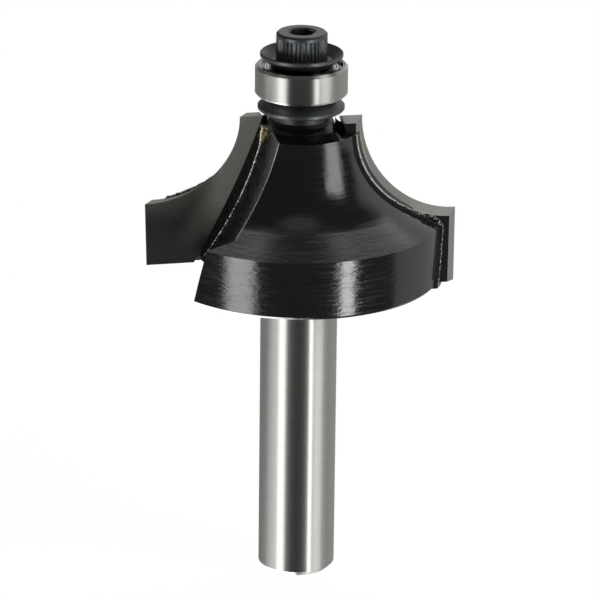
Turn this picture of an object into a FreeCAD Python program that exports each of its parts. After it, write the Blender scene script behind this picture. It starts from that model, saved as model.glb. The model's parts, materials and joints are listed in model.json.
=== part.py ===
"""A two-flute, bearing-guided rounding-over router bit, standing on the end of its shank.

Frame: +Z up along the axis of rotation, origin at the centre of the shank's flat end, in mm.
Tooth 1 reaches towards +X and cuts towards +Y; tooth 2 is the same, half a turn round.
"""
import FreeCAD, Part
import Sketcher
import os
import re

doc = FreeCAD.newDocument("RouterBit")

# Driving dimensions, each on its own row of the sheet
SIZES = {
    # Shank
    "shank_diameter": 8.0,
    "shank_length": 32.7,
    "shank_chamfer": 0.56,
    "shank_root_chamfer": 0.4,
    # Head of the cutter body: a rim, a slope, a cove and a top that rises a little to the neck
    "rim_setback": 1.35,
    "rim_height": 6.1,
    "rim_chamfer": 0.3,
    "crown_drop": 1.3,
    "crown_rise": 0.3,
    "cove_setback": 0.55,
    # Circle and profile that the tips cut
    "cutting_diameter": 32.0,
    "crown_diameter": 12.6,
    "land_height": 7.3,
    # Neck, spigot and tapped hole above the head
    "neck_diameter": 6.15,
    "neck_flare": 0.87,
    "shoulder_height": 18.96,
    "spigot_clearance": 0.015,
    "spigot_shortfall": 0.25,
    "spigot_chamfer": 0.2,
    "tapping_depth": 9.0,
    "tapping_clearance": 0.02,
    # Carbide tips, laid on a shear plane ahead of which each gullet opens
    "tip_thickness": 1.94,
    "shear_angle": 14.15,
    "face_offset": 3.1,
    "relief_outward": 1.1,
    "relief_upward": 0.74,
    "tip_top_width": 2.42,
    "tip_foot_inset": 4.68,
    "tip_inner_bow": 0.45,
    # Brazed seats
    "seat_gap": 0.12,
    "tip_standing": 0.6,
    "bead_height": 0.28,
    "bead_width": 0.45,
    # Gullets, milled by a disc whose axis is square to the shear plane
    "disc_radius": 40.0,
    "gullet_root": 3.12,
    "gullet_root_rise": 13.7,
    "gullet_width": 12.1,
    "gullet_wall_height": 5.5,
    "gullet_wall_lean": 3.95,
    # Ball bearing
    "bearing_diameter": 9.525,
    "bearing_bore": 4.762,
    "bearing_width": 3.175,
    "bearing_chamfer": 0.26,
    "bore_chamfer": 0.15,
    "inner_ring_wall": 0.669,
    "outer_ring_wall": 0.7425,
    "ball_diameter": 1.588,
    "ball_clearance": 0.02,
    # Ball cage
    "cage_inner_clearance": 0.18,
    "cage_outer_clearance": 0.16,
    "cage_back": 1.0,
    "cage_lip": 0.4,
    "pocket_clearance": 0.05,
    # Shields and the snap rings that hold them
    "shield_inner_diameter": 6.4,
    "shield_overlap": 0.23,
    "shield_sheet": 0.14,
    "shield_depth": 0.42,
    "shield_clearance": 0.02,
    "snap_thickness": 0.22,
    "snap_width": 0.3,
    "snap_overlap": 0.33,
    "snap_gap": 26.0,
    # Dished washers
    "washer_hub_diameter": 6.3,
    "washer_hub_thickness": 0.42,
    "washer_edge_height": 0.38,
    "washer_edge_break": 0.1,
    "washer_clearance": 0.05,
    "upper_washer_diameter": 8.52,
    "upper_washer_rise": 0.9,
    "lower_washer_diameter": 8.94,
    "lower_washer_rise": 1.18,
    # Socket head screw
    "screw_diameter": 3.175,
    "screw_reach": 9.0,
    "screw_point": 0.4,
    "screw_head_diameter": 5.25,
    "screw_head_height": 3.0,
    "screw_head_chamfer": 0.2,
    "socket_width": 2.38,
    "socket_mouth": 2.96,
    "socket_depth": 1.6,
    "knurl_depth": 0.11,
    "knurl_width": 0.34,
    "knurl_plain_band": 0.5,
}

BALL_COUNT = 8
KNURL_COUNT = 40

# Places worked out from the driving dimensions: r is a radius, z a height above the shank's end,
# x and y are in plan, and rise is measured up the shear plane from the top of the cutting land
PLACES = {
    "r_shank": "shank_diameter / 2",
    "z_rim": "shank_length + rim_height",
    "r_cut": "cutting_diameter / 2",
    "r_rim": "r_cut - rim_setback",
    "z_land": "shank_length + land_height",
    "r_crown": "crown_diameter / 2",
    "cove_radius": "r_cut - r_crown",
    "z_crown": "z_land + cove_radius",
    "z_head": "z_crown - crown_drop",
    "r_cove": "cove_radius + cove_setback",
    "r_neck": "neck_diameter / 2",
    "z_shoulder": "shank_length + shoulder_height",
    "z_bearing": "z_shoulder + washer_hub_thickness",
    "z_balls": "z_bearing + bearing_width / 2",
    "z_bearing_top": "z_bearing + bearing_width",
    "z_screw_seat": "z_bearing_top + washer_hub_thickness",
    "z_screw_top": "z_screw_seat + screw_head_height",
    "r_spigot": "bearing_bore / 2 - spigot_clearance",
    "z_spigot": "z_bearing_top - spigot_shortfall",
    "r_tapping": "screw_diameter / 2 + tapping_clearance",
    # Where the cutting profile meets the shear plane
    "y_crown": "cove_radius * tan(shear_angle) - face_offset",
    "x_crown": "sqrt(r_crown^2 - y_crown^2)",
    "rise_crown": "cove_radius / cos(shear_angle)",
    "r_middle": "r_cut - cove_radius * cos(45)",
    "y_middle": "cove_radius * (1 - sin(45)) * tan(shear_angle) - face_offset",
    "x_middle": "sqrt(r_middle^2 - y_middle^2)",
    "rise_middle": "cove_radius * (1 - sin(45)) / cos(shear_angle)",
    "x_land": "sqrt(r_cut^2 - face_offset^2)",
    "y_foot": "-land_height * tan(shear_angle) - face_offset",
    "x_foot": "sqrt(r_cut^2 - y_foot^2)",
    "rise_foot": "-land_height / cos(shear_angle)",
    "x_inner_top": "x_crown - tip_top_width",
    "x_inner_foot": "x_foot - (cove_radius - tip_foot_inset)",
    "x_inner_middle": "(x_inner_top + x_inner_foot) / 2 - tip_inner_bow",
    "rise_inner_middle": "(rise_crown + rise_foot) / 2",
    # Bearing
    "inner_land_diameter": "bearing_bore + 2 * inner_ring_wall",
    "outer_land_diameter": "bearing_diameter - 2 * outer_ring_wall",
    "cage_inner_diameter": "inner_land_diameter + 2 * cage_inner_clearance",
    "cage_outer_diameter": "outer_land_diameter - 2 * cage_outer_clearance",
    "shield_outer_diameter": "outer_land_diameter + 2 * shield_overlap",
    "snap_ring_diameter": "outer_land_diameter + 2 * snap_overlap",
    "r_pitch": "(inner_land_diameter + outer_land_diameter) / 4",
    "r_race": "ball_diameter / 2 + ball_clearance",
    "inner_race_half": "sqrt(r_race^2 - (r_pitch - inner_land_diameter / 2)^2)",
    "outer_race_half": "sqrt(r_race^2 - (outer_land_diameter / 2 - r_pitch)^2)",
    "r_shield_seat": "shield_outer_diameter / 2 + shield_clearance",
    "shield_seat": "bearing_width / 2 - shield_depth",
    "r_snap": "snap_ring_diameter / 2",
    "snap_seat": "shield_seat + shield_sheet",
    "r_socket": "socket_width / 2 / cos(30)",
}

sizes = doc.addObject("Spreadsheet::Sheet", "Sizes")
for row, (name, value) in enumerate(SIZES.items(), 1):
    sizes.set(f"A{row}", name.replace("_", " "))
    sizes.set(f"B{row}", str(value))
    sizes.setAlias(f"B{row}", name)


def expression(text):
    """Put the sheet's name before each size and place that an expression names."""
    def with_sheet(match):
        word = match.group(0)
        sheet = "Sizes." if word in SIZES else "Places." if word in PLACES else ""
        return sheet + word

    return re.sub(r"[a-z_]+", with_sheet, text)


places = doc.addObject("Spreadsheet::Sheet", "Places")
for row, (name, formula) in enumerate(PLACES.items(), 1):
    places.set(f"A{row}", name.replace("_", " "))
    places.setAlias(f"B{row}", name)
for row, formula in enumerate(PLACES.values(), 1):
    places.set(f"B{row}", "=" + expression(formula).replace("Places.", ""))
doc.recompute()


# Drawing and feature helpers

def bind(thing, **expressions):
    """Bind properties to expressions: a double underscore stands for the dot of a sub-property."""
    for path, text in expressions.items():
        thing.setExpression(path.replace("__", "."), expression(text))


def new_body(label):
    """A new body whose label names its piece."""
    body = doc.addObject("PartDesign::Body", label)
    body.Label = label
    return body


def origin_feature(body, role):
    """One of the body's own planes or axes."""
    return next(feature for feature in body.Origin.OriginFeatures if feature.Role == role)


def new_sketch(body, name, role, tilt="", **offsets):
    """A sketch on one of the body's planes, moved by x, y and z and tilted about its own X."""
    sketch = body.newObject("Sketcher::SketchObject", name)
    sketch.AttachmentSupport = [(origin_feature(body, role), "")]
    sketch.MapMode = "FlatFace"
    for axis, text in offsets.items():
        bind(sketch, **{f"AttachmentOffset__Base__{axis}": text})
    if tilt:
        sketch.AttachmentOffset = FreeCAD.Placement(
            sketch.AttachmentOffset.Base, FreeCAD.Rotation(FreeCAD.Vector(1, 0, 0), 1))
        bind(sketch, AttachmentOffset__Rotation__Angle=tilt)
    return sketch


def hold(sketch, geometry, end, corner):
    """Hold one point of a sketch at a corner given as two expressions."""
    for kind, axis, text in zip(("DistanceX", "DistanceY"), (-2, -1), corner):
        value = float(sketch.evalExpression(expression(text)))
        if abs(value) < 1e-9:
            sketch.addConstraint(Sketcher.Constraint("PointOnObject", geometry, end, axis))
            continue
        number = sketch.addConstraint(Sketcher.Constraint(kind, geometry, end, value))
        sketch.setExpression(f"Constraints[{number}]", expression(text))


def draw(sketch, *outline):
    """Draw a closed outline through corners given as pairs of expressions.

    A corner that starts with the word via is no corner: it is the point that an arc between its
    two neighbours passes through.
    """
    def point(corner):
        x, y = (float(sketch.evalExpression(expression(text))) for text in corner[-2:])
        return FreeCAD.Vector(x, y, 0)

    sides = []
    corners = [place for place, corner in enumerate(outline) if corner[0] != "via"]
    for place in corners:
        start = point(outline[place])
        middle = outline[(place + 1) % len(outline)]
        if middle[0] != "via":
            side = sketch.addGeometry(Part.LineSegment(start, point(middle)), False)
            sides.append((side, 1, 2))
            continue
        end = point(outline[(place + 2) % len(outline)])
        # A sketch counts an arc's ends anticlockwise
        anticlockwise = (point(middle) - start).cross(end - point(middle)).z > 0
        ends = (start, end) if anticlockwise else (end, start)
        side = sketch.addGeometry(Part.Arc(ends[0], point(middle), ends[1]), False)
        sides.append((side, 1, 2) if anticlockwise else (side, 2, 1))
        through = sketch.addGeometry(Part.Point(point(middle)), True)
        sketch.addConstraint(Sketcher.Constraint("PointOnObject", through, 1, side))
        hold(sketch, through, 1, middle[1:])
    for (side, first, last), (following, start, _) in zip(sides, sides[1:] + sides[:1]):
        sketch.addConstraint(Sketcher.Constraint("Coincident", side, last, following, start))
    for (side, first, _), place in zip(sides, corners):
        hold(sketch, side, first, outline[place])


def revolve(body, name, *outline, kind="Revolution"):
    """Turn an outline drawn in the body's XZ plane all the way round Z."""
    sketch = new_sketch(body, name + "Outline", "XZ_Plane")
    draw(sketch, *outline)
    turned = body.newObject("PartDesign::" + kind, name)
    turned.Profile = sketch
    turned.ReferenceAxis = (sketch, ["V_Axis"])
    turned.Angle = 360
    doc.recompute()
    return turned


def pattern(body, name, originals, count):
    """Repeat features evenly round Z."""
    ring = body.newObject("PartDesign::PolarPattern", name)
    ring.Originals = originals
    ring.Axis = (origin_feature(body, "Z_Axis"), [""])
    ring.Angle = 360
    ring.Occurrences = count
    body.Tip = ring
    doc.recompute()
    return ring


def head_profile(growth="0"):
    """Corners of the head's rim, slope and cove, grown outwards."""
    cove = f"(r_cove - {growth})"
    inset = f"(r_cut - r_rim - {growth})"
    drop = "(z_crown - z_rim)"
    knee = f"(atan({inset} / {drop}) + acos({cove} / sqrt({inset}^2 + {drop}^2)))"
    top = f"asin((z_crown - z_head) / {cove})"
    middle = f"(({knee} + 90 deg - {top}) / 2)"
    return (
        (f"r_rim + {growth}", "z_rim"),
        (f"r_cut - {cove} * sin({knee})", f"z_crown - {cove} * cos({knee})"),
        ("via", f"r_cut - {cove} * sin({middle})", f"z_crown - {cove} * cos({middle})"),
        (f"r_cut - {cove} * cos({top})", "z_head"),
    )


# Cutter body: shank, head, neck and spigot in one piece

def cutter_body():
    body = new_body("cutter_body")
    revolve(
        body, "Turned",
        ("0", "0"),
        ("r_shank - shank_chamfer", "0"),
        ("r_shank", "shank_chamfer"),
        ("r_shank", "shank_length - shank_root_chamfer"),
        ("r_shank + shank_root_chamfer", "shank_length"),
        ("r_rim - rim_chamfer", "shank_length"),
        ("r_rim", "shank_length + rim_chamfer"),
        *head_profile(),
        ("r_neck + neck_flare", "z_head + crown_rise"),
        ("r_neck", "z_head + crown_rise + neck_flare"),
        ("r_neck", "z_shoulder"),
        ("r_spigot", "z_shoulder"),
        ("r_spigot", "z_spigot - spigot_chamfer"),
        ("r_spigot - spigot_chamfer", "z_spigot"),
        ("r_tapping", "z_spigot"),
        ("r_tapping", "z_spigot - tapping_depth"),
        ("0", "z_spigot - tapping_depth - r_tapping / tan(59)"),
    )

    # The sketch plane holds the disc's axis; its Y is square to the shear plane
    section = new_sketch(
        body, "DiscSection", "XY_Plane", tilt="-shear_angle",
        x="gullet_root + disc_radius",
        y="gullet_root_rise * sin(shear_angle) - face_offset",
        z="gullet_root_rise * cos(shear_angle) + z_land")
    draw(
        section,
        ("0", "-tip_standing"),
        ("-disc_radius", "-tip_standing"),
        ("-disc_radius", "gullet_wall_height"),
        ("gullet_wall_lean - disc_radius", "gullet_width"),
        ("0", "gullet_width"),
    )
    gullet = body.newObject("PartDesign::Groove", "Gullet")
    gullet.Profile = section
    gullet.ReferenceAxis = (section, ["V_Axis"])
    gullet.Angle = 360
    doc.recompute()

    plan = shear_plane_sketch(body, "SeatPlan")
    draw(plan, *seat_outline())
    seat = body.newObject("PartDesign::Pocket", "Seat")
    seat.Profile = plan
    seat.Reversed = True
    bind(seat, Length="tip_thickness + seat_gap")
    doc.recompute()
    pattern(body, "Flutes", [gullet, seat], 2)
    return body


def shear_plane_sketch(body, name, depth="0"):
    """A sketch on the shear plane or behind it: X outwards, Y up the plane from the land."""
    return new_sketch(
        body, name, "XZ_Plane", tilt="-shear_angle",
        y=f"z_land + ({depth}) * sin(shear_angle)",
        z=f"face_offset + ({depth}) * cos(shear_angle)")


def seat_outline(gap="seat_gap"):
    """The seat's plan: the tip's inner edge less a gap, and everything outwards of it."""
    outside = "cutting_diameter"
    below = "rise_foot - tip_thickness"
    return (
        (f"x_inner_top - {gap}", "rise_crown"),
        (outside, "rise_crown"),
        (outside, below),
        (f"x_inner_foot - {gap}", below),
        (f"x_inner_foot - {gap}", "rise_foot"),
        ("via", f"x_inner_middle - {gap}", "rise_inner_middle"),
    )


# Carbide tips

def tip_outline(outward="0", upward="0"):
    """The tip's plan on the shear plane, its cutting edges moved by the relief."""
    return (
        ("x_inner_top", f"rise_crown - {upward}"),
        (f"x_crown - {outward}", f"rise_crown - {upward}"),
        ("via", f"x_middle - {outward}", f"rise_middle - {upward}"),
        (f"x_land - {outward}", f"-({upward})"),
        (f"x_foot - {outward}", "rise_foot"),
        ("x_inner_foot", "rise_foot"),
        ("via", "x_inner_middle", "rise_inner_middle"),
    )


def carbide_tip(label):
    body = new_body(label)
    face = shear_plane_sketch(body, "CuttingFace")
    draw(face, *tip_outline())
    back = shear_plane_sketch(body, "BackFace", depth="tip_thickness")
    draw(back, *tip_outline("relief_outward", "relief_upward"))
    loft = body.newObject("PartDesign::AdditiveLoft", "Tip")
    loft.Profile = face
    loft.Sections = [back]
    loft.Ruled = True
    doc.recompute()
    return body


# Braze: what fills the seat behind and beside a tip, and the bead that runs out along it

def braze_seam(label, cutter, tip, turn):
    bead = new_body(label + "_bead")
    revolve(
        bead, "Skin",
        ("0", "shank_length"),
        ("r_rim + bead_height", "shank_length"),
        *head_profile("bead_height"),
        ("0", "z_head"),
    )
    slab = new_body(label + "_slab")
    plan = shear_plane_sketch(slab, "SlabPlan", depth="tip_standing")
    draw(plan, *seat_outline())
    pad = slab.newObject("PartDesign::Pad", "Slab")
    pad.Profile = plan
    bind(pad, Length="tip_thickness - tip_standing + bead_width")
    for blank in (bead, slab):
        blank.Placement.Rotation = turn
    common = doc.addObject("Part::Common", label + "_blank")
    common.Base = bead
    common.Tool = slab
    beside = doc.addObject("Part::Cut", label + "_beside_tip")
    beside.Base = common
    beside.Tool = tip
    seam = doc.addObject("Part::Cut", label)
    seam.Base = beside
    seam.Tool = cutter
    seam.Label = label
    doc.recompute()
    return seam


# Dished washers: a flat hub against the bearing's inner ring, a flange that leans away from it

def dished_washer(label, prefix, z_ring, away, bore):
    """away is + or -: the way from the bearing's face at z_ring to the flange."""
    body = new_body(label)
    edge = f"{prefix}_washer_diameter / 2"
    near = f"{prefix}_washer_rise"
    far = f"({near} + washer_edge_height)"
    revolve(
        body, "Dish",
        (bore, z_ring),
        ("washer_hub_diameter / 2", z_ring),
        (f"{edge} - washer_edge_break", f"{z_ring} {away} ({near} - washer_edge_break)"),
        (edge, f"{z_ring} {away} {near}"),
        (edge, f"{z_ring} {away} ({far} - washer_edge_break)"),
        (f"{edge} - washer_edge_break", f"{z_ring} {away} {far}"),
        ("washer_hub_diameter / 2", f"{z_ring} {away} washer_hub_thickness"),
        (bore, f"{z_ring} {away} washer_hub_thickness"),
    )
    return body


# Ball bearing

def inner_ring():
    body = new_body("bearing_inner_ring")
    bore = "bearing_bore / 2"
    land = "inner_land_diameter / 2"
    revolve(
        body, "Ring",
        (bore, "z_bearing + bore_chamfer"),
        (f"{bore} + bore_chamfer", "z_bearing"),
        (land, "z_bearing"),
        (land, "z_balls - inner_race_half"),
        ("via", "r_pitch - r_race", "z_balls"),
        (land, "z_balls + inner_race_half"),
        (land, "z_bearing_top"),
        (f"{bore} + bore_chamfer", "z_bearing_top"),
        (bore, "z_bearing_top - bore_chamfer"),
    )
    return body


def outer_ring():
    body = new_body("bearing_outer_ring")
    outside = "bearing_diameter / 2"
    land = "outer_land_diameter / 2"
    revolve(
        body, "Ring",
        (outside, "z_bearing + bearing_chamfer"),
        (f"{outside} - bearing_chamfer", "z_bearing"),
        ("r_shield_seat", "z_bearing"),
        ("r_shield_seat", "z_balls - shield_seat"),
        (land, "z_balls - shield_seat"),
        (land, "z_balls - outer_race_half"),
        ("via", "r_pitch + r_race", "z_balls"),
        (land, "z_balls + outer_race_half"),
        (land, "z_balls + shield_seat"),
        ("r_shield_seat", "z_balls + shield_seat"),
        ("r_shield_seat", "z_bearing_top"),
        (f"{outside} - bearing_chamfer", "z_bearing_top"),
        (outside, "z_bearing_top - bearing_chamfer"),
    )
    bottom = "r_snap + shield_clearance"
    for name, away in (("UpperGroove", "+"), ("LowerGroove", "-")):
        near = f"z_balls {away} (snap_seat - shield_clearance)"
        far = f"z_balls {away} (snap_seat + snap_thickness + shield_clearance)"
        revolve(body, name, (land, near), (bottom, near), (bottom, far), (land, far), kind="Groove")
    return body


def ball_cage():
    body = new_body("ball_cage")
    inner = "cage_inner_diameter / 2"
    outer = "cage_outer_diameter / 2"
    revolve(
        body, "Band",
        (inner, "z_balls - cage_lip"),
        (outer, "z_balls - cage_lip"),
        (outer, "z_balls + cage_back"),
        (inner, "z_balls + cage_back"),
    )
    plan = new_sketch(body, "PocketPlan", "YZ_Plane", y="z_balls")
    radius = "(ball_diameter / 2 + pocket_clearance)"
    draw(
        plan,
        (radius, "0"), ("via", "0", radius), (f"-{radius}", "0"), ("via", "0", f"-{radius}"))
    pocket = body.newObject("PartDesign::Pocket", "Pocket")
    pocket.Profile = plan
    pocket.Reversed = True
    bind(pocket, Length="cage_outer_diameter")
    doc.recompute()
    pattern(body, "Pockets", [pocket], BALL_COUNT)
    return body


def ball(label, angle):
    sphere = doc.addObject("Part::Sphere", label)
    sphere.Label = label
    bind(
        sphere, Radius="ball_diameter / 2",
        Placement__Base__x=f"r_pitch * cos({angle})",
        Placement__Base__y=f"r_pitch * sin({angle})",
        Placement__Base__z="z_balls")
    return sphere


def shield(label, away):
    body = new_body(label)
    near = f"z_balls {away} shield_seat"
    far = f"z_balls {away} (shield_seat + shield_sheet)"
    revolve(
        body, "Sheet",
        ("shield_inner_diameter / 2", near),
        ("shield_outer_diameter / 2", near),
        ("shield_outer_diameter / 2", far),
        ("shield_inner_diameter / 2", far),
    )
    return body


def snap_ring(label, away):
    """A flat ring with a gap, sprung into its groove over the shield."""
    body = new_body(label)
    section = new_sketch(body, "Section", "XZ_Plane")
    near = f"z_balls {away} snap_seat"
    far = f"z_balls {away} (snap_seat + snap_thickness)"
    inside = "r_snap - snap_width"
    draw(section, (inside, near), ("r_snap", near), ("r_snap", far), (inside, far))
    ring = body.newObject("PartDesign::Revolution", "Ring")
    ring.Profile = section
    ring.ReferenceAxis = (section, ["V_Axis"])
    bind(ring, Angle="360 - snap_gap")
    doc.recompute()
    return body


# Socket head screw that clamps the stack

def pilot_screw():
    body = new_body("pilot_screw")
    head = "screw_head_diameter / 2"
    stem = "screw_diameter / 2"
    mouth_depth = "(socket_mouth / 2 - r_socket)"
    revolve(
        body, "Turned",
        ("0", "z_screw_seat - screw_reach"),
        (f"{stem} - screw_point", "z_screw_seat - screw_reach"),
        (stem, "z_screw_seat - screw_reach + screw_point"),
        (stem, "z_screw_seat"),
        (head, "z_screw_seat"),
        (head, "z_screw_top - screw_head_chamfer"),
        (f"{head} - screw_head_chamfer", "z_screw_top"),
        ("socket_mouth / 2", "z_screw_top"),
        ("r_socket", f"z_screw_top - {mouth_depth}"),
        ("0", f"z_screw_top - {mouth_depth}"),
    )
    hexagon = new_sketch(body, "SocketPlan", "XY_Plane", z="z_screw_top")
    draw(hexagon, *(
        (f"r_socket * cos({turn})", f"r_socket * sin({turn})") for turn in range(0, 360, 60)))
    socket = body.newObject("PartDesign::Pocket", "Socket")
    socket.Profile = hexagon
    bind(socket, Length="socket_depth")
    doc.recompute()
    notch = new_sketch(body, "KnurlNotch", "XY_Plane", z="z_screw_top - knurl_plain_band")
    draw(
        notch,
        (f"{head} - knurl_depth", "0"),
        (f"{head} + knurl_depth", "-knurl_width"),
        (f"{head} + knurl_depth", "knurl_width"),
    )
    groove = body.newObject("PartDesign::Pocket", "KnurlGroove")
    groove.Profile = notch
    bind(groove, Length="screw_head_height - knurl_plain_band")
    doc.recompute()
    pattern(body, "Knurl", [groove], KNURL_COUNT)
    return body


# The assembly

z_axis = FreeCAD.Vector(0, 0, 1)
pieces = [cutter_body()]
for number, angle in ((1, 0), (2, 180)):
    turn = FreeCAD.Rotation(z_axis, angle)
    tip = carbide_tip(f"carbide_tip_{number}")
    tip.Placement.Rotation = turn
    pieces += [tip, braze_seam(f"braze_seam_{number}", pieces[0], tip, turn)]
pieces += [
    dished_washer("lower_washer", "lower", "z_bearing", "-", "r_spigot + washer_clearance"),
    dished_washer("upper_washer", "upper", "z_bearing_top", "+", "screw_diameter / 2 + washer_clearance"),
    inner_ring(),
    outer_ring(),
    ball_cage(),
]
pieces += [ball(f"ball_{number + 1}", number * 360 / BALL_COUNT) for number in range(BALL_COUNT)]
for name, away in (("upper", "+"), ("lower", "-")):
    pieces += [shield(f"{name}_shield", away), snap_ring(f"{name}_snap_ring", away)]
pieces.append(pilot_screw())
doc.recompute()

# Checks, then one file for each piece

for thing in doc.Objects:
    if "Invalid" in thing.State or "Error" in thing.State:
        raise RuntimeError(f"{thing.Name} did not build: {thing.State}")
for piece in pieces:
    if piece.Shape.isNull() or not piece.Shape.isValid():
        raise RuntimeError(f"{piece.Label} has no valid shape")

os.makedirs("parts", exist_ok=True)
for piece in pieces:
    piece.Shape.exportStep(f"parts/{piece.Label}.step")
    print(f"{piece.Label}: {len(piece.Shape.Solids)} solid, {piece.Shape.Volume:.3f} mm3")
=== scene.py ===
"""The looks of a bearing-guided router bit, laid out as a Blender add-on and run as a script.

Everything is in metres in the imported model's frame: +Z up along the axis of rotation, the origin
at the centre of the shank's flat end. Tooth 1 reaches towards +X, tooth 2 towards -X.
"""
import json
import math
import bpy
import numpy as np
from mathutils import Matrix, Vector


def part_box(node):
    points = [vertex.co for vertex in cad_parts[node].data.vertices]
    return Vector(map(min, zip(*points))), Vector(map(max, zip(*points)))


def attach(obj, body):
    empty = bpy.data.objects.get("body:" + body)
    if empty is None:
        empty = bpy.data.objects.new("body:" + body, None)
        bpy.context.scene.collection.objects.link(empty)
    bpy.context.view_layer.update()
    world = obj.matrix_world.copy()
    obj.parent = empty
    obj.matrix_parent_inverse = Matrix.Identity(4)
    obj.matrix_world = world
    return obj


bl_info = {
    "name": "Router bit looks",
    "version": (1, 0, 0),
    "blender": (4, 5, 0),
    "location": "View3D > Sidebar > Router bit",
    "description": "Finishes, braze beads and studio for a brazed carbide router bit",
    "category": "Object",
}

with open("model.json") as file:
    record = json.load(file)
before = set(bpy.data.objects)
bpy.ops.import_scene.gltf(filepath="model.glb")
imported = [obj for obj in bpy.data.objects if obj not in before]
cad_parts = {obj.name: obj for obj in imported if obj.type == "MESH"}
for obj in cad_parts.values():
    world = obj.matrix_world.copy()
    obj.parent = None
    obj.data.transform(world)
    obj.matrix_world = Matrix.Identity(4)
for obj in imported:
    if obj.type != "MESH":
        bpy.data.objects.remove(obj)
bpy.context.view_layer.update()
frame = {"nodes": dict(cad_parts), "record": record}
MM = 0.001
TURN = 2 * math.pi

# Heights on the cutter, in metres
HEAD_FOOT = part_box("carbide_tip_1")[0].z
RIM_TOP = HEAD_FOOT + 6.1 * MM
NECK_FOOT = 49.3 * MM

# A tooth's shear plane holds its cutting face. Places on either tooth are in mm: out from the axis,
# rising up the plane from the top of the cutting land, and behind the plane
LAND_TOP = 40.0
FACE_OFFSET = 3.1
SHEAR = math.radians(14.15)
TIP_BACK = 1.94

# The tip's inner side: how far out it is, by powers of the rise from its middle
TIP_MIDDLE = 1.238
TIP_INNER = (6.572, -0.36231, 0.005856)

# The gullet: a disc's circle for its root and wall, and a floor plane on which the tip sits
DISC_RADIUS = 40.0
DISC_OUT = 43.12
DISC_RISE = 13.7
WALL_HEIGHT = 5.5
WALL_LEAN = 3.95 / 6.6
GULLET_WIDTH = 12.1
FLOOR_BEHIND = 0.6

# The head's own profile in mm, as radius and height: the circle of its cove, and its rim
COVE_CENTRE = (16.0, 49.7)
COVE_RADIUS = 10.25
COVE_FOOT = 38.8
RIM_RADIUS = 14.65

# The bearing in mm: its ends lie past a distance from its middle, within a radius
BEARING_MIDDLE = 53.6675
END_DISTANCE = 1.275
END_RADIUS = 4.45
# Pitch of the dark rings of painted shade on the bearing's ends
SHADE_RING_PITCH = 0.27

# Beads of braze: their names, the rings and sides of each tube, and their places in mm
BEADS = ("gullet_bead_1", "gullet_bead_2", "seam_bead_1", "seam_bead_2")
BEAD_STATIONS = 900
BEAD_SIDES = 20
GULLET_BEAD_RISE = (10.0, -7.3)
SEAM_BEHIND = 2.2
SEAM_FOOT = 33.0
SEAM_LIFT = (0.20, 0.16)

# Linear colours; a pair goes from the darker to the lighter
COATING = ((0.0035, 0.0037, 0.0035), (0.009, 0.0095, 0.0095))
# Painted light on the gullets' walls
GULLET_WALL_PAINTED_LIGHT = (0.085, 0.093, 0.087)
WORN_STEEL = (0.95, 0.95, 0.92)
SOOT = (0.006, 0.006, 0.006)
CARBIDE_RELIEF = ((0.27, 0.27, 0.25), (0.36, 0.36, 0.33))
# Painted shade at the foot of a carbide tip's face, and painted light towards its top
CARBIDE_FACE_PAINTED_SHADE = ((0.014, 0.016, 0.016), (0.032, 0.034, 0.032))
CARBIDE_FACE_PAINTED_LIGHT = ((0.36, 0.36, 0.31), (0.58, 0.58, 0.51))
GOLDEN_BRAZE = (0.85, 0.72, 0.42)
# Painted shade for the gaps on the bearing's ends
PAINTED_GAP_SHADE = (0.012, 0.012, 0.012)
CAGE_GREY = ((0.25, 0.24, 0.22), (0.42, 0.40, 0.36))
OXIDE_DARK = (0.105, 0.111, 0.116)
FLOOR_GREY = (0.15, 0.15, 0.15)
WHITE = (1.0, 1.0, 1.0)

# The studio as the bit sees it: left, right, low and high edge of each softbox or wall in degrees
# from the camera's azimuth and from level, the softness of its edge in degrees, and its level
ROOM_LEVEL = 0.06
STUDIO = (
    (-190, -49, -90, -38, 9, 5.1),
    (37, 118, -90, -40, 8, 2.5),
    (-61, -37, -34, -8, 5, 2.7),
    (-190, -116, -45, 0, 6, 0.25),
    (34, 45, -34, -8, 2, 4.8),
    (84, 178, -45, 0, 4, 0.33),
    (49, 78, -6, 46, 6, 2.0),
    (104, 200, 2, 40, 8, 0.40),
    (139, 200, 38, 70, 4, 0.65),
    (-200, -139, 38, 70, 4, 0.65),
    (155, 205, 8, 27, 3, 0.5),
    (-205, -155, 8, 27, 3, 0.5),
    (-180, 180, 80, 90, 6, 0.2),
)
FLOOR_HALF = 3.0
SENSOR = 36


# Shader maths: a socket that takes part in Python expressions

class Term:
    """One output socket of a material's tree, with the operators that add Math nodes."""

    def __init__(self, tree, socket):
        self.tree = tree
        self.socket = socket

    def math(self, operation, *others):
        return self.tree.node("ShaderNodeMath", {"operation": operation}, self, *others)

    def __add__(self, other):
        return self.math("ADD", other)

    def __sub__(self, other):
        return self.math("SUBTRACT", other)

    def __mul__(self, other):
        return self.math("MULTIPLY", other)

    def __truediv__(self, other):
        return self.math("DIVIDE", other)

    def __pow__(self, other):
        return self.math("POWER", other)

    def __rsub__(self, other):
        return (self * -1) + other

    __radd__ = __add__
    __rmul__ = __mul__

    def step(self, low, high):
        """0 up to low, 1 from high, and a smooth rise between them."""
        settings = {"interpolation_type": "SMOOTHSTEP"}
        return self.tree.node("ShaderNodeMapRange", settings, self, low, high, 0.0, 1.0)

    def within(self, low, high, soft):
        """1 between low and high, and a smooth fall to 0 over the softness on either side."""
        return self.step(low - soft, low + soft) * (1 - self.step(high - soft, high + soft))


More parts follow.
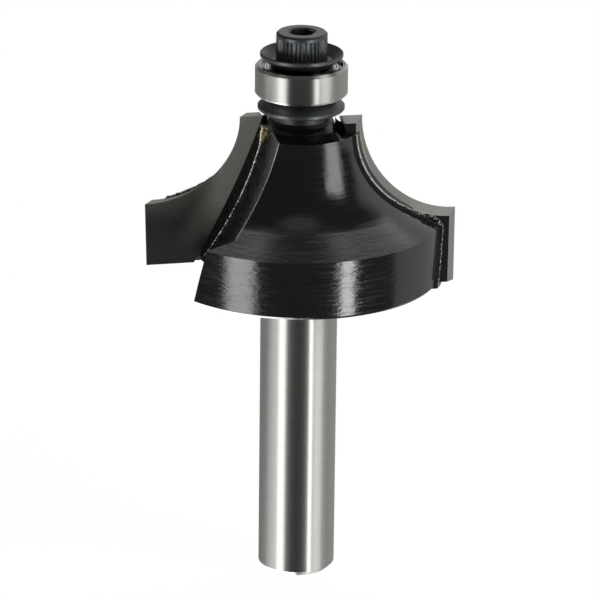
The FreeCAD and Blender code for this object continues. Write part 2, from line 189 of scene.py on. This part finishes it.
class Tree:
    """The node tree of one material, which a finish function fills in."""

    def __init__(self, name):
        self.material = bpy.data.materials.new(name)
        self.material.use_nodes = True
        self.use(self.material.node_tree)
        self.surface = self.nodes["Principled BSDF"]

    @classmethod
    def of(cls, node_tree):
        """The tree of the world, which has no main shader of a material."""
        tree = cls.__new__(cls)
        tree.use(node_tree)
        return tree

    def use(self, node_tree):
        self.nodes = node_tree.nodes
        self.links = node_tree.links

    def put(self, socket, value):
        """Set a socket to a value, or link it to a term."""
        if isinstance(value, Term):
            value = value.socket
        if isinstance(value, bpy.types.NodeSocket):
            self.links.new(value, socket)
        else:
            socket.default_value = (*value, 1.0) if socket.type == "RGBA" else value

    def node(self, kind, settings, *inputs, **named):
        """Add a node: its settings first, then its sockets in order or by name."""
        made = self.nodes.new(kind)
        for name, value in settings.items():
            setattr(made, name, value)
        for socket, value in zip(made.inputs, inputs):
            self.put(socket, value)
        for name, value in named.items():
            self.put(made.inputs[name.replace("_", " ")], value)
        return Term(self, made.outputs[0])

    def place(self, coordinates="Object"):
        """Object coordinates, or the world's directions, as X, Y and Z terms and as one vector."""
        source = self.nodes.new("ShaderNodeTexCoord").outputs[coordinates]
        split = self.nodes.new("ShaderNodeSeparateXYZ")
        self.links.new(source, split.inputs[0])
        return [Term(self, socket) for socket in (*split.outputs, source)]

    def noise(self, vector, scale, detail=3.0, roughness=0.55, stretch=(1.0, 1.0, 1.0)):
        """Noise of about 0 to 1 on a vector that is stretched first."""
        scaled = self.node("ShaderNodeVectorMath", {"operation": "MULTIPLY"}, vector, stretch)
        return self.node(
            "ShaderNodeTexNoise", {},
            Vector=scaled, Scale=scale, Detail=detail, Roughness=roughness)

    def blend(self, factor, first, second):
        """Mix two colours, each a term or a linear RGB triple."""
        made = self.nodes.new("ShaderNodeMix")
        made.data_type = "RGBA"
        self.put(made.inputs["Factor"], factor)
        for name, value in (("A", first), ("B", second)):
            socket = next(s for s in made.inputs if s.name == name and s.type == "RGBA")
            self.put(socket, value)
        return Term(self, next(s for s in made.outputs if s.type == "RGBA"))

    def bump(self, height, distance, strength):
        """Shade with a height in units of distance, in metres."""
        normal = self.node(
            "ShaderNodeBump", {}, Strength=strength, Distance=distance, Height=height)
        self.put(self.surface.inputs["Normal"], normal)

    def set(self, **values):
        """Set or link the main shader's sockets by name."""
        for name, value in values.items():
            self.put(self.surface.inputs[name.replace("_", " ")], value)


def tooth_frame(x, y, z):
    """Terms for out from the axis, up the shear plane and behind it, in mm, on either tooth."""
    back = y * x.math("SIGN") * (-1 / MM) - FACE_OFFSET
    up = z / MM - LAND_TOP
    rise = up * math.cos(SHEAR) - back * math.sin(SHEAR)
    behind = back * math.cos(SHEAR) + up * math.sin(SHEAR)
    return x.math("ABSOLUTE") / MM, rise, behind


def from_axis(x, y):
    """The distance from the bit's axis, in mm."""
    return (x * x + y * y) ** 0.5 / MM


# Finishes

def steel_and_coating(settings):
    """The cutter body: a bright ground shank and a black head, worn along its gullets' edges."""
    tree = Tree("cutter_finish")
    x, y, z, place = tree.place()
    ground_steel(tree, settings, place)
    steel = tree.surface
    tree.surface = tree.nodes.new("ShaderNodeBsdfPrincipled")

    specks = tree.noise(place, scale=5 / MM, detail=4.0, roughness=0.7)
    rings = tree.noise(place, scale=1 / MM, detail=2.0, roughness=0.6, stretch=(0.3, 0.3, 6.0))
    brush = tree.noise(place, scale=1 / MM, detail=2.0, roughness=0.6, stretch=(1.3, 1.3, 4.0))
    haze = tree.noise(place, scale=0.9 / MM, detail=3.0, roughness=0.6)
    worn, wall = gullet_marks(x, y, z)
    neck = z.step(NECK_FOOT - 0.1 * MM, NECK_FOOT + 0.1 * MM)
    rim = 1 - z.step(RIM_TOP - 0.2 * MM, RIM_TOP)
    black = tree.blend(specks, *COATING)
    # Painted light: the gullet walls are greyed in patches, less by the bead at their foot and more
    # further up
    black = tree.blend(wall * haze.step(0.25, 0.75), black, GULLET_WALL_PAINTED_LIGHT)
    streaks = rings.step(0.46, 0.62)
    rough = specks * 0.06 + streaks * 0.09 + worn * 0.3 + wall * 0.2 + neck * 0.3 + 0.10
    tree.set(
        Base_Color=tree.blend(worn, black, WORN_STEEL),
        Metallic=worn * 0.5,
        Roughness=rough,
        IOR=2.0,
    )
    strokes = (specks - 0.5) * 0.5 + (rings - 0.5) * 1.5 + (brush - 0.5) * (rim * 5 + 3)
    tree.bump(strokes * (1 - wall), distance=0.003 * MM, strength=0.9)

    coated = z.step(HEAD_FOOT - 0.1 * MM, HEAD_FOOT)
    both = tree.node("ShaderNodeMixShader", {}, coated, steel.outputs[0], tree.surface.outputs[0])
    tree.put(tree.nodes["Material Output"].inputs["Surface"], both)
    return tree.material


def gullet_marks(x, y, z):
    """1 on the worn bright arris between the cove and a gullet's wall, and painted light on that
    wall.

    The wall is where a point's distance from the disc's centre is the disc's radius, less the lean
    of its upper part. The cove is where the distance from the cove's circle is nothing.
    """
    out, rise, behind = tooth_frame(x, y, z)
    ahead = behind * -1
    lean = (ahead - WALL_HEIGHT).math("MAXIMUM", 0.0) * WALL_LEAN
    wall = DISC_RADIUS - lean - ((out - DISC_OUT) ** 2 + (rise - DISC_RISE) ** 2) ** 0.5
    radius = from_axis(x, y) - COVE_CENTRE[0]
    height = z / MM - COVE_CENTRE[1]
    cove = COVE_RADIUS - (radius * radius + height * height) ** 0.5
    in_gullet = (1 - behind.step(FLOOR_BEHIND, FLOOR_BEHIND + 0.1)) * behind.step(
        -GULLET_WIDTH, 0.1 - GULLET_WIDTH)
    on_wall = wall.within(-0.11, 0.11, soft=0.03) * in_gullet
    # Painted light on the wall: about a third near its foot by the bead, rising to full further out
    upper = ahead.step(3.5, 6.5) * 0.65 + 0.35
    return on_wall * cove.step(-0.14, -0.08), on_wall * upper


def ground_steel(tree, settings, place):
    """Steel ground round the axis: fine rings that spread its reflections up and down."""
    rings = tree.noise(place, scale=1 / MM, detail=2.0, roughness=0.6, stretch=(0.25, 0.25, 14.0))
    fine = tree.noise(place, scale=2.5 / MM, detail=2.0, roughness=0.6, stretch=(0.4, 0.4, 10.0))
    tree.set(
        Base_Color=tree.blend(rings, settings.steel_dark, settings.steel_light),
        Metallic=1.0,
        Roughness=rings * 0.08 + 0.30,
        Anisotropic=1.0,
        Anisotropic_Rotation=0.25,
    )
    tree.bump(rings * 0.5 + fine * 0.5, distance=0.002 * MM, strength=0.5)


def carbide(settings):
    """Sintered carbide: satin on the ground face and relief, black on the back and inner side."""
    tree = Tree("carbide_finish")
    x, y, z, place = tree.place()
    out, rise, behind = tooth_frame(x, y, z)
    middle = rise - TIP_MIDDLE
    inner = out - (middle * TIP_INNER[1] + middle * middle * TIP_INNER[2] + TIP_INNER[0])
    ground = (1 - behind.step(TIP_BACK - 0.015, TIP_BACK - 0.005)) * inner.step(0.02, 0.05)
    face = 1 - behind.step(0.01, 0.03)
    scratch = tree.noise(place, scale=3 / MM, detail=3.0, roughness=0.6, stretch=(0.5, 1.0, 4.0))
    cloud = tree.noise(place, scale=0.25 / MM, detail=2.0, roughness=0.5)
    relief = tree.blend(scratch, tree.blend(cloud, *CARBIDE_RELIEF), settings.carbide)
    # Painted shade at the face's foot and painted light at its top, mixed by the mask below
    foot = tree.blend(scratch, *CARBIDE_FACE_PAINTED_SHADE)
    top = tree.blend(scratch, *CARBIDE_FACE_PAINTED_LIGHT)
    # Painted light on the face: lighter up the face and near its inner edge, darker at its foot
    face_painted_light = rise.step(-3.0, 9.0) + (1 - inner.step(0.2, 4.0)) * rise.step(-6.0, 1.0) * 0.9
    clean = tree.blend(face, relief, tree.blend(face_painted_light, foot, top))
    tree.set(
        Base_Color=tree.blend(ground, SOOT, clean),
        Metallic=ground * 0.85,
        Roughness=scratch * 0.18 + face * 0.18 + 0.30,
    )
    tree.bump(scratch, distance=0.004 * MM, strength=0.5)
    return tree.material


def braze(settings):
    """Silver braze: bright and golden in the gullets, mostly under black flux along the seams."""
    tree = Tree("braze_finish")
    x, y, z, place = tree.place()
    _, rise, behind = tooth_frame(x, y, z)
    lumps = tree.noise(place, scale=1.6 / MM, detail=4.0, roughness=0.6)
    flux = tree.noise(place, scale=7 / MM, detail=3.0, roughness=0.7, stretch=(1.0, 1.0, 0.6))
    gullet = (1 - behind.step(1.2, 1.4)) * (1 - rise.step(8.3, 8.7))
    seam = (1 - gullet) * behind.within(SEAM_BEHIND - 0.15, SEAM_BEHIND + 0.15, soft=0.03)
    foot = 1 - rise.step(-0.5, 1.5)
    clean = (gullet + seam) * (flux - foot * 0.07).step(0.41, 0.46)
    golden = gullet * rise.step(6.0, 7.0)
    tree.set(
        Base_Color=tree.blend(clean, SOOT, tree.blend(golden, settings.braze, GOLDEN_BRAZE)),
        Metallic=clean,
        Roughness=lumps * 0.25 + 0.22,
    )
    tree.bump(lumps + flux * 0.6, distance=0.06 * MM, strength=0.9)
    return tree.material


def bearing_steel(settings):
    """Hardened bearing steel, ground and polished, with dark rings of painted shade across its
    ends.
    """
    tree = Tree("bearing_finish")
    x, y, z, place = tree.place()
    ground_steel(tree, settings, place)
    depth = (z / MM - BEARING_MIDDLE).math("ABSOLUTE")
    radius = from_axis(x, y)
    end = depth.step(END_DISTANCE - 0.025, END_DISTANCE + 0.025)
    end = end * (1 - radius.step(END_RADIUS - 0.01, END_RADIUS + 0.01))
    # Painted shade: dark rings across the ends, standing in for the shade in the gaps between the
    # rings, shields and snap rings
    gap_shade = end * (radius * (TURN / SHADE_RING_PITCH)).math("SINE").step(-0.5, 0.3)
    steel = tree.surface.inputs["Base Color"].links[0].from_socket
    tree.set(
        Base_Color=tree.blend(gap_shade, steel, PAINTED_GAP_SHADE),
        Roughness=end * -0.1 + 0.38,
    )
    return tree.material


def cage_steel(settings):
    """Pressed steel of the ball cage, duller than the rings."""
    tree = Tree("cage_finish")
    *_, place = tree.place()
    cloud = tree.noise(place, scale=2 / MM)
    tree.set(Base_Color=tree.blend(cloud, *CAGE_GREY), Metallic=1.0, Roughness=0.4)
    return tree.material


def black_oxide(settings):
    """Black oxide on the screw and the dished washers: bluish, in lighter and darker patches."""
    tree = Tree("oxide_finish")
    *_, place = tree.place()
    cloud = tree.noise(place, scale=1.2 / MM)
    specks = tree.noise(place, scale=6 / MM, roughness=0.7)
    tree.set(
        Base_Color=tree.blend(cloud, OXIDE_DARK, settings.oxide),
        Metallic=0.9,
        Roughness=specks * 0.25 + 0.28,
    )
    tree.bump(specks, distance=0.003 * MM, strength=0.5)
    return tree.material


FINISHES = {
    "coating": steel_and_coating,
    "carbide": carbide,
    "braze": braze,
    "bearing_steel": bearing_steel,
    "cage_steel": cage_steel,
    "black_oxide": black_oxide,
}


# Settings that a user would change

def colour_setting(name, description, default):
    return bpy.props.FloatVectorProperty(
        name=name, description=description, default=default, subtype="COLOR", min=0, max=1)


def angle_setting(name, description, degrees):
    return bpy.props.FloatProperty(
        name=name, description=description, default=math.radians(degrees), subtype="ANGLE")


def length_setting(name, description, default):
    return bpy.props.FloatProperty(
        name=name, description=description, default=default, subtype="DISTANCE")


class BitFinish(bpy.types.PropertyGroup):
    """Colours of the bit's metals, linear."""

    steel_light: colour_setting(
        "Steel, light", "Lighter streaks of the ground steel", (0.72, 0.725, 0.68))
    steel_dark: colour_setting(
        "Steel, dark", "Darker streaks of the ground steel", (0.52, 0.52, 0.50))
    carbide: colour_setting("Carbide", "Ground relief of the carbide", (0.52, 0.52, 0.48))
    braze: colour_setting("Braze", "Clean silver braze", (0.95, 0.95, 0.93))
    oxide: colour_setting(
        "Black oxide", "Lighter patches of the black oxide", (0.22, 0.235, 0.248))


class BitView(bpy.types.PropertyGroup):
    """The camera that took the photograph."""

    azimuth: angle_setting("Azimuth", "Camera's turn about the bit", -12.03)
    elevation: angle_setting("Elevation", "Camera's height above level", 19.88)
    roll: angle_setting("Roll", "Camera's turn about its line of sight", 0.66)
    distance: length_setting("Distance", "From the camera to the aim", 0.450)
    aim_height: length_setting("Aim height", "Height that the camera looks at", 0.029635)
    aim_right: length_setting("Aim right", "Aim's distance to the right of the axis", 0.000111)
    lens: bpy.props.FloatProperty(
        name="Lens", description="Focal length in millimetres for a 36 mm sensor", default=259.7)


# Beads of braze, as tubes whose radius swells and shrinks

def tube(name, centre, outward, radius):
    """A closed tube round a curve of centres, with a fan of triangles over either end.

    Each vertex is its centre plus the radius there times (the cosine of the ring's angle times the
    outward direction plus its sine times the direction across both that and the curve).
    """
    along = np.gradient(centre, axis=0)
    across = np.cross(along, outward)
    across /= np.linalg.norm(across, axis=1, keepdims=True)
    upright = np.cross(across, along)
    upright /= np.linalg.norm(upright, axis=1, keepdims=True)
    angle = (np.arange(BEAD_SIDES) * TURN / BEAD_SIDES)[None, :, None]
    rings = centre[:, None] + radius[..., None] * (
        np.cos(angle) * upright[:, None] + np.sin(angle) * across[:, None])
    points = np.concatenate((rings.reshape(-1, 3), centre[[0, -1]]))

    side = np.arange(BEAD_SIDES)
    beside = (side + 1) % BEAD_SIDES
    near = np.arange(len(centre) - 1)[:, None] * BEAD_SIDES
    far = near + BEAD_SIDES
    quads = np.stack((near + side, near + beside, far + beside, far + side), -1).reshape(-1, 4)
    end = (len(centre) - 1) * BEAD_SIDES
    first, last = len(points) - 2, len(points) - 1
    foot = np.stack((np.full(BEAD_SIDES, first), beside, side), -1)
    head = np.stack((np.full(BEAD_SIDES, last), end + side, end + beside), -1)
    mesh = bpy.data.meshes.new(name)
    mesh.from_pydata((points * MM).tolist(), [], quads.tolist() + foot.tolist() + head.tolist())
    mesh.shade_smooth()
    piece = bpy.data.objects.new(name, mesh)
    bpy.context.scene.collection.objects.link(piece)
    return piece


def taper(sharpness):
    """1 along a bead and close to nothing at its ends.

    The square root of one less a power of the distance from the bead's middle, by half its length.
    """
    share = np.linspace(-1, 1, BEAD_STATIONS)[:, None]
    return np.maximum(np.sqrt(1 - np.abs(share) ** sharpness), 0.02)


def lumpy(length, size, swell, seed):
    """Radii of a lumpy bead: three sines along it, two of them turning with the ring's angle.

    The radius is the size, times one plus the swell times the sum of the sines, times the taper.
    """
    along = np.linspace(0, length, BEAD_STATIONS)[:, None]
    angle = (np.arange(BEAD_SIDES) * TURN / BEAD_SIDES)[None, :]
    waves = (
        0.5 * np.sin(5.3 * along + seed)
        + 0.3 * np.sin(13.7 * along + angle + 2 * seed)
        + 0.3 * np.sin(29.0 * along - 2 * angle + 3 * seed))
    return size * (1 + swell * waves) * taper(12)


def in_frame(tooth, out, across, height):
    """Points or directions given out along a tooth, across it and up, in the bit's frame."""
    side = 1 if tooth == 1 else -1
    return np.stack((side * out, -side * across, height), -1)


def on_tooth(tooth, out, rise, behind):
    """Points given on a tooth's shear plane, in the bit's frame, in mm."""
    back = behind * math.cos(SHEAR) - rise * math.sin(SHEAR)
    up = rise * math.cos(SHEAR) + behind * math.sin(SHEAR)
    return in_frame(tooth, out, FACE_OFFSET + back, LAND_TOP + up)


class OBJECT_OT_bit_beads(bpy.types.Operator):
    """Lays the beads of braze in the gullets' corners and along the seams behind the tips"""

    bl_idname = "object.bit_beads"
    bl_label = "Lay the braze beads"

    def execute(self, context):
        for name in BEADS:
            make = self.gullet if name.startswith("gullet") else self.seam
            piece = make(name, int(name[-1]))
            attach(piece, "cutter")
        return {"FINISHED"}

    def gullet(self, name, tooth):
        """Along the foot of the wall: a thin line, with a pool and a thick cap at the top.

        The curve is the disc's circle, out from the axis by the disc's centre less the square root
        of the squared radius less the squared rise from that centre. The pool and the cap are two
        bells along it, which move the curve out and thicken it.
        """
        rise = np.linspace(*GULLET_BEAD_RISE, BEAD_STATIONS)
        out = DISC_OUT - np.sqrt(DISC_RADIUS ** 2 - (rise - DISC_RISE) ** 2)
        pool = np.exp(-((rise - 7.7) / 0.9) ** 2) + 2 * np.exp(-((rise - 8.95) / 0.55) ** 2)
        behind = np.full(BEAD_STATIONS, FLOOR_BEHIND)
        centre = on_tooth(tooth, out + 0.14 * pool, rise, behind)
        ahead = on_tooth(tooth, out, rise, behind - 1) - on_tooth(tooth, out, rise, behind)
        line = lumpy(length=17.0, size=0.085, swell=0.45, seed=1.3 * tooth)
        return tube(name, centre, ahead, (line + 0.22 * pool[:, None]) * taper(20))

    def seam(self, name, tooth):
        """Over the seam's middle, down the cove and the slope to the foot of the rim.

        Its curve lies on the head's own profile, grown by the seam's skin, where that profile meets
        a plane at a fixed distance behind the cutting face. It is thinner up the cove.
        """
        turn = np.radians(np.linspace(8, 77, 400))
        cove = np.stack((
            COVE_CENTRE[0] - COVE_RADIUS * np.cos(turn),
            COVE_CENTRE[1] - COVE_RADIUS * np.sin(turn)), -1)
        profile = np.concatenate((cove, ((RIM_RADIUS, COVE_FOOT), (RIM_RADIUS, SEAM_FOOT))))
        sides = np.linalg.norm(np.diff(profile, axis=0), axis=1)
        length = np.concatenate(((0,), np.cumsum(sides)))
        place = np.linspace(0, length[-1], BEAD_STATIONS)
        radius = np.interp(place, length, profile[:, 0]) + SEAM_LIFT[0]
        height = np.interp(place, length, profile[:, 1]) + SEAM_LIFT[1]
        sheared = (height - LAND_TOP) * math.sin(SHEAR)
        across = FACE_OFFSET + (SEAM_BEHIND - sheared) / math.cos(SHEAR)
        out = np.sqrt(radius ** 2 - across ** 2)
        centre = in_frame(tooth, out, across, height)
        outward = in_frame(tooth, out, across, np.full(BEAD_STATIONS, 4.0))
        thin = 0.45 + 0.55 / (1 + np.exp((height - 41.5) / 0.5))
        radii = lumpy(length[-1], size=0.16, swell=0.45, seed=2.1 * tooth) * thin[:, None]
        return tube(name, centre, outward, radii)


class OBJECT_OT_bit_finishes(bpy.types.Operator):
    """Gives every solid its finish by the record's material slots, and the beads theirs"""

    bl_idname = "object.bit_finishes"
    bl_label = "Finish the solids and beads"

    def execute(self, context):
        slots = {part["node"]: part["material_slot"] for part in frame["record"]["subparts"]}
        made = {slot: finish(context.scene.bit_finish) for slot, finish in FINISHES.items()}
        for node, piece in frame["nodes"].items():
            piece.data.materials.clear()
            piece.data.materials.append(made[slots[node]])
        for name in BEADS:
            bpy.data.objects[name].data.materials.append(made["braze"])
        return {"FINISHED"}


class OBJECT_OT_bit_studio(bpy.types.Operator):
    """Adds the floor, the world and the camera"""

    bl_idname = "object.bit_studio"
    bl_label = "Set up the studio"

    def execute(self, context):
        view = context.scene.bit_view
        self.floor()
        self.world(context.scene, view)
        self.camera(context.scene, view)
        return {"FINISHED"}

    def floor(self):
        """A level square that only the camera sees: white, and a little darker in shadow."""
        corners = [
            (x * FLOOR_HALF, y * FLOOR_HALF, 0) for x, y in ((-1, -1), (1, -1), (1, 1), (-1, 1))]
        mesh = bpy.data.meshes.new("floor")
        mesh.from_pydata(corners, [], [(0, 1, 2, 3)])
        piece = bpy.data.objects.new("floor", mesh)
        bpy.context.scene.collection.objects.link(piece)
        tree = Tree("floor_finish")
        tree.set(
            Base_Color=FLOOR_GREY, Roughness=0.9, Specular_IOR_Level=0.0,
            Emission_Color=WHITE, Emission_Strength=0.96)
        mesh.materials.append(tree.material)
        piece.visible_glossy = False
        piece.visible_diffuse = False
        piece.visible_shadow = False

    def world(self, scene, view):
        """White to the camera. To the bit it is a grey room with softboxes, by direction."""
        world = bpy.data.worlds.new("studio")
        world.use_nodes = True
        scene.world = world
        tree = Tree.of(world.node_tree)
        x, y, z, _ = tree.place("Generated")
        turn = view.azimuth
        ahead = x * math.sin(turn) - y * math.cos(turn)
        aside = x * math.cos(turn) + y * math.sin(turn)
        azimuth = aside.math("ARCTAN2", ahead) * (360 / TURN)
        height = z.math("ARCSINE") * (360 / TURN)
        light = ROOM_LEVEL
        for left, right, low, high, soft, level in STUDIO:
            box = azimuth.within(left, right, soft) * height.within(low, high, soft)
            light = box * level + light
        sight = tree.node("ShaderNodeLightPath", {})
        background = tree.nodes["Background"]
        tree.put(background.inputs["Color"], WHITE)
        tree.put(background.inputs["Strength"], sight + (1 - sight) * light)

    def camera(self, scene, view):
        """The photograph's camera, from its azimuth, elevation, roll, distance and aim."""
        turn, rise, roll = view.azimuth, view.elevation, view.roll
        right = Vector((math.cos(turn), math.sin(turn), 0))
        back = Vector((
            math.sin(turn) * math.cos(rise), -math.cos(turn) * math.cos(rise), math.sin(rise)))
        up = back.cross(right)
        aim = right * view.aim_right + Vector((0, 0, view.aim_height))
        axes = Matrix((
            right * math.cos(roll) + up * math.sin(roll),
            up * math.cos(roll) - right * math.sin(roll),
            back,
        )).transposed()
        data = bpy.data.cameras.new("camera")
        data.lens = view.lens
        data.sensor_width = SENSOR
        data.clip_start = 10 * MM
        piece = bpy.data.objects.new("camera", data)
        piece.matrix_world = Matrix.Translation(aim + back * view.distance) @ axes.to_4x4()
        scene.collection.objects.link(piece)
        scene.camera = piece


class VIEW3D_PT_router_bit(bpy.types.Panel):
    """The bit's steps, in order, and its settings"""

    bl_label = "Router bit"
    bl_idname = "VIEW3D_PT_router_bit"
    bl_space_type = "VIEW_3D"
    bl_region_type = "UI"
    bl_category = "Router bit"

    def draw(self, context):
        for operator in STEPS:
            self.layout.operator(operator.bl_idname)
        for group in (context.scene.bit_finish, context.scene.bit_view):
            for name in group.__annotations__:
                self.layout.prop(group, name)


STEPS = (OBJECT_OT_bit_beads, OBJECT_OT_bit_finishes, OBJECT_OT_bit_studio)
CLASSES = (BitFinish, BitView, *STEPS, VIEW3D_PT_router_bit)


def register():
    for item in CLASSES:
        bpy.utils.register_class(item)
    bpy.types.Scene.bit_finish = bpy.props.PointerProperty(type=BitFinish)
    bpy.types.Scene.bit_view = bpy.props.PointerProperty(type=BitView)


def unregister():
    del bpy.types.Scene.bit_view
    del bpy.types.Scene.bit_finish
    for item in reversed(CLASSES):
        bpy.utils.unregister_class(item)


def main():
    register()
    bpy.context.scene.view_settings.view_transform = "Standard"
    for operator in STEPS:
        group, name = operator.bl_idname.split(".")
        getattr(getattr(bpy.ops, group), name)()


if __name__ == "__main__":
    main()
